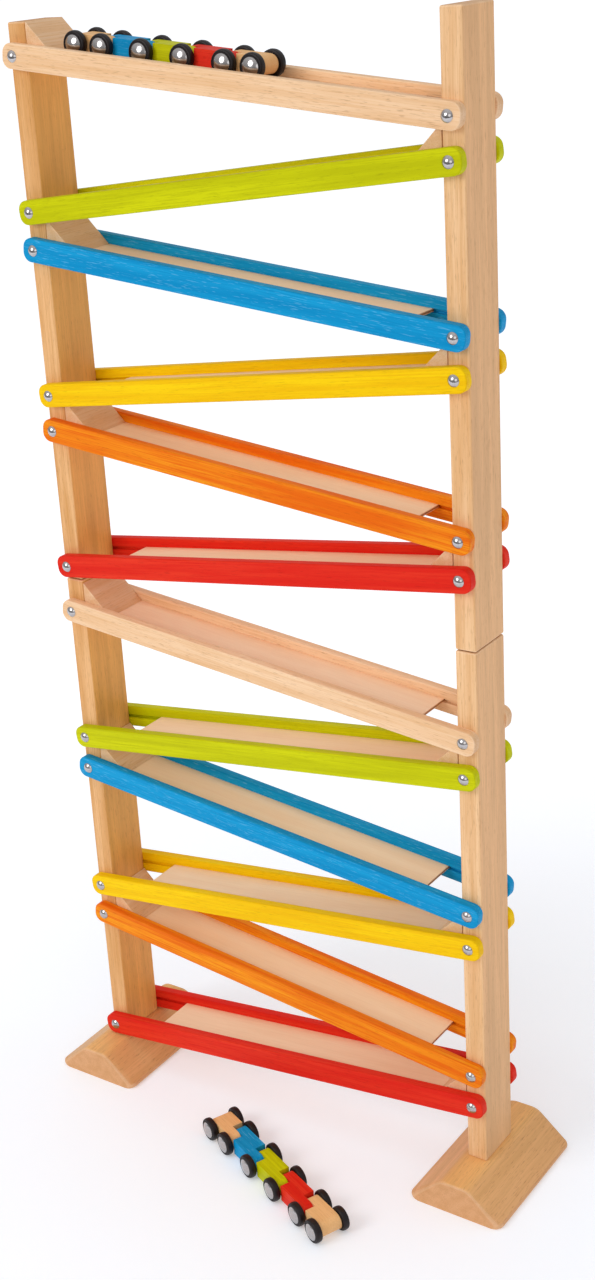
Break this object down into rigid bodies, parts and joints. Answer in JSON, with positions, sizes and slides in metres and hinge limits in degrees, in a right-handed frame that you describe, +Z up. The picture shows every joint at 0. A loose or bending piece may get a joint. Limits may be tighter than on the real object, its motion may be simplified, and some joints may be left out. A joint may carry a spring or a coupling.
{
  "type": "click clack track toy",
  "caption": "Tall wooden zig-zag ramp tower on two feet, with stained rails and two articulated wooden trains that roll and tumble down from ramp to ramp.",
  "frame": {"origin": "on the standing surface, at the middle of the footprint of the tower and the loose train", "axes": "+Z up, +X along the ramps to the right as seen from the front, +Y to the back"},
  "size_m": [0.479, 0.2274, 0.9705],
  "materials": {
    "post_wood": "clear satin varnish on rubberwood",
    "foot_wood": "clear satin varnish on rubberwood",
    "dowel_wood": "bare beech",
    "rail_natural": "clear satin varnish",
    "stain_green": "translucent lime green stain, satin",
    "stain_blue": "translucent blue stain, satin",
    "stain_yellow": "translucent yellow stain, satin",
    "stain_orange": "translucent orange stain, satin",
    "stain_red": "translucent red stain, satin",
    "plywood": "sanded plywood",
    "wedge_wood": "clear satin varnish",
    "wagon_natural": "clear satin varnish",
    "wagon_blue": "translucent blue stain, satin",
    "wagon_green": "translucent lime green stain, satin",
    "wagon_red": "translucent red stain, satin",
    "bright_steel": "bright plated, domed",
    "zinc_steel": "zinc plated",
    "axle_steel": "bright plated, domed caps",
    "wheel_rubber": "satin black"
  },
  "bodies": {
    "tower": {"left_foot": "foot_wood", "right_foot": "foot_wood", "left_lower_post": "post_wood", "left_upper_post": "post_wood", "right_lower_post": "post_wood", "right_upper_post": "post_wood", "post_dowels": "dowel_wood", "foot_screws": "zinc_steel", "rail_screws": "bright_steel", "rails_01": "rail_natural", "rails_02": "stain_green", "rails_03": "stain_blue", "rails_04": "stain_yellow", "rails_05": "stain_orange", "rails_06": "stain_red", "rails_07": "rail_natural", "rails_08": "stain_green", "rails_09": "stain_blue", "rails_10": "stain_yellow", "rails_11": "stain_orange", "rails_12": "stain_red", "upper_floors": "plywood", "lower_floors": "plywood", "left_wedges": "wedge_wood", "right_wedges": "wedge_wood"},
    "ramp_wagon_1": {"ramp_train_wagon_1": "wagon_natural"},
    "ramp_wagon_2": {"ramp_train_wagon_2": "wagon_blue"},
    "ramp_wagon_3": {"ramp_train_wagon_3": "wagon_green"},
    "ramp_wagon_4": {"ramp_train_wagon_4": "wagon_red"},
    "ramp_wagon_5": {"ramp_train_wagon_5": "wagon_natural"},
    "ramp_wheels_1": {"ramp_train_axle_1": "axle_steel", "ramp_train_wheels_1": "wheel_rubber"},
    "ramp_wheels_2": {"ramp_train_axle_2": "axle_steel", "ramp_train_wheels_2": "wheel_rubber"},
    "ramp_wheels_3": {"ramp_train_axle_3": "axle_steel", "ramp_train_wheels_3": "wheel_rubber"},
    "ramp_wheels_4": {"ramp_train_axle_4": "axle_steel", "ramp_train_wheels_4": "wheel_rubber"},
    "ramp_wheels_5": {"ramp_train_axle_5": "axle_steel", "ramp_train_wheels_5": "wheel_rubber"},
    "ramp_wheels_6": {"ramp_train_axle_6": "axle_steel", "ramp_train_wheels_6": "wheel_rubber"},
    "loose_wagon_1": {"loose_train_wagon_1": "wagon_natural"},
    "loose_wagon_2": {"loose_train_wagon_2": "wagon_blue"},
    "loose_wagon_3": {"loose_train_wagon_3": "wagon_green"},
    "loose_wagon_4": {"loose_train_wagon_4": "wagon_red"},
    "loose_wagon_5": {"loose_train_wagon_5": "wagon_natural"},
    "loose_wheels_1": {"loose_train_axle_1": "axle_steel", "loose_train_wheels_1": "wheel_rubber"},
    "loose_wheels_2": {"loose_train_axle_2": "axle_steel", "loose_train_wheels_2": "wheel_rubber"},
    "loose_wheels_3": {"loose_train_axle_3": "axle_steel", "loose_train_wheels_3": "wheel_rubber"},
    "loose_wheels_4": {"loose_train_axle_4": "axle_steel", "loose_train_wheels_4": "wheel_rubber"},
    "loose_wheels_5": {"loose_train_axle_5": "axle_steel", "loose_train_wheels_5": "wheel_rubber"},
    "loose_wheels_6": {"loose_train_axle_6": "axle_steel", "loose_train_wheels_6": "wheel_rubber"}
  },
  "joints": [
    {"name": "ramp_train_roll", "type": "slide", "parent": "tower", "child": "ramp_wagon_1", "axis": [0.9932, 0, -0.1168], "range_m": [0, 0.115]},
    {"name": "ramp_hinge_1", "type": "hinge", "parent": "ramp_wagon_1", "child": "ramp_wagon_2", "pos_m": [-0.11803, 0.0474, 0.94827], "axis": [0, -1, 0], "range_deg": [0, 60]},
    {"name": "ramp_hinge_2", "type": "hinge", "parent": "ramp_wagon_2", "child": "ramp_wagon_3", "pos_m": [-0.0793, 0.0474, 0.94372], "axis": [0, -1, 0], "range_deg": [0, 60]},
    {"name": "ramp_hinge_3", "type": "hinge", "parent": "ramp_wagon_3", "child": "ramp_wagon_4", "pos_m": [-0.04056, 0.0474, 0.93916], "axis": [0, -1, 0], "range_deg": [0, 60]},
    {"name": "ramp_hinge_4", "type": "hinge", "parent": "ramp_wagon_4", "child": "ramp_wagon_5", "pos_m": [-0.00183, 0.0474, 0.9346], "axis": [0, -1, 0], "range_deg": [0, 60]},
    {"name": "ramp_axle_1_spin", "type": "hinge", "parent": "ramp_wagon_1", "child": "ramp_wheels_1", "pos_m": [-0.14385, 0.0474, 0.95131], "axis": [0, 1, 0], "continuous": true},
    {"name": "ramp_axle_2_spin", "type": "hinge", "parent": "ramp_wagon_1", "child": "ramp_wheels_2", "pos_m": [-0.11803, 0.0474, 0.94827], "axis": [0, 1, 0], "continuous": true},
    {"name": "ramp_axle_3_spin", "type": "hinge", "parent": "ramp_wagon_2", "child": "ramp_wheels_3", "pos_m": [-0.0793, 0.0474, 0.94372], "axis": [0, 1, 0], "continuous": true},
    {"name": "ramp_axle_4_spin", "type": "hinge", "parent": "ramp_wagon_3", "child": "ramp_wheels_4", "pos_m": [-0.04056, 0.0474, 0.93916], "axis": [0, 1, 0], "continuous": true},
    {"name": "ramp_axle_5_spin", "type": "hinge", "parent": "ramp_wagon_4", "child": "ramp_wheels_5", "pos_m": [-0.00183, 0.0474, 0.9346], "axis": [0, 1, 0], "continuous": true},
    {"name": "ramp_axle_6_spin", "type": "hinge", "parent": "ramp_wagon_5", "child": "ramp_wheels_6", "pos_m": [0.02399, 0.0474, 0.93157], "axis": [0, 1, 0], "continuous": true},
    {"name": "loose_train_roll", "type": "slide", "parent": "tower", "child": "loose_wagon_1", "axis": [0.9171, -0.3987, 0], "range_m": [0, 0.12]},
    {"name": "loose_hinge_1", "type": "hinge", "parent": "loose_wagon_1", "child": "loose_wagon_2", "pos_m": [-0.01416, -0.03747, 0.0105], "axis": [-0.3987, -0.9171, 0], "range_deg": [0, 60]},
    {"name": "loose_hinge_2", "type": "hinge", "parent": "loose_wagon_2", "child": "loose_wagon_3", "pos_m": [0.02161, -0.05302, 0.0105], "axis": [-0.3987, -0.9171, 0], "range_deg": [0, 60]},
    {"name": "loose_hinge_3", "type": "hinge", "parent": "loose_wagon_3", "child": "loose_wagon_4", "pos_m": [0.05737, -0.06857, 0.0105], "axis": [-0.3987, -0.9171, 0], "range_deg": [0, 60]},
    {"name": "loose_hinge_4", "type": "hinge", "parent": "loose_wagon_4", "child": "loose_wagon_5", "pos_m": [0.09314, -0.08412, 0.0105], "axis": [-0.3987, -0.9171, 0], "range_deg": [0, 60]},
    {"name": "loose_axle_1_spin", "type": "hinge", "parent": "loose_wagon_1", "child": "loose_wheels_1", "pos_m": [-0.038, -0.0271, 0.0105], "axis": [0.3987, 0.9171, 0], "continuous": true},
    {"name": "loose_axle_2_spin", "type": "hinge", "parent": "loose_wagon_1", "child": "loose_wheels_2", "pos_m": [-0.01416, -0.03747, 0.0105], "axis": [0.3987, 0.9171, 0], "continuous": true},
    {"name": "loose_axle_3_spin", "type": "hinge", "parent": "loose_wagon_2", "child": "loose_wheels_3", "pos_m": [0.02161, -0.05302, 0.0105], "axis": [0.3987, 0.9171, 0], "continuous": true},
    {"name": "loose_axle_4_spin", "type": "hinge", "parent": "loose_wagon_3", "child": "loose_wheels_4", "pos_m": [0.05737, -0.06857, 0.0105], "axis": [0.3987, 0.9171, 0], "continuous": true},
    {"name": "loose_axle_5_spin", "type": "hinge", "parent": "loose_wagon_4", "child": "loose_wheels_5", "pos_m": [0.09314, -0.08412, 0.0105], "axis": [0.3987, 0.9171, 0], "continuous": true},
    {"name": "loose_axle_6_spin", "type": "hinge", "parent": "loose_wagon_5", "child": "loose_wheels_6", "pos_m": [0.11698, -0.09449, 0.0105], "axis": [0.3987, 0.9171, 0], "continuous": true}
  ],
  "couplings": [
    {"joint": "ramp_axle_1_spin", "follows": "ramp_train_roll", "rad_per_m": 95.238},
    {"joint": "ramp_axle_2_spin", "follows": "ramp_train_roll", "rad_per_m": 95.238},
    {"joint": "ramp_axle_3_spin", "follows": "ramp_train_roll", "rad_per_m": 95.238},
    {"joint": "ramp_axle_4_spin", "follows": "ramp_train_roll", "rad_per_m": 95.238},
    {"joint": "ramp_axle_5_spin", "follows": "ramp_train_roll", "rad_per_m": 95.238},
    {"joint": "ramp_axle_6_spin", "follows": "ramp_train_roll", "rad_per_m": 95.238},
    {"joint": "loose_axle_1_spin", "follows": "loose_train_roll", "rad_per_m": 95.238},
    {"joint": "loose_axle_2_spin", "follows": "loose_train_roll", "rad_per_m": 95.238},
    {"joint": "loose_axle_3_spin", "follows": "loose_train_roll", "rad_per_m": 95.238},
    {"joint": "loose_axle_4_spin", "follows": "loose_train_roll", "rad_per_m": 95.238},
    {"joint": "loose_axle_5_spin", "follows": "loose_train_roll", "rad_per_m": 95.238},
    {"joint": "loose_axle_6_spin", "follows": "loose_train_roll", "rad_per_m": 95.238}
  ]
}
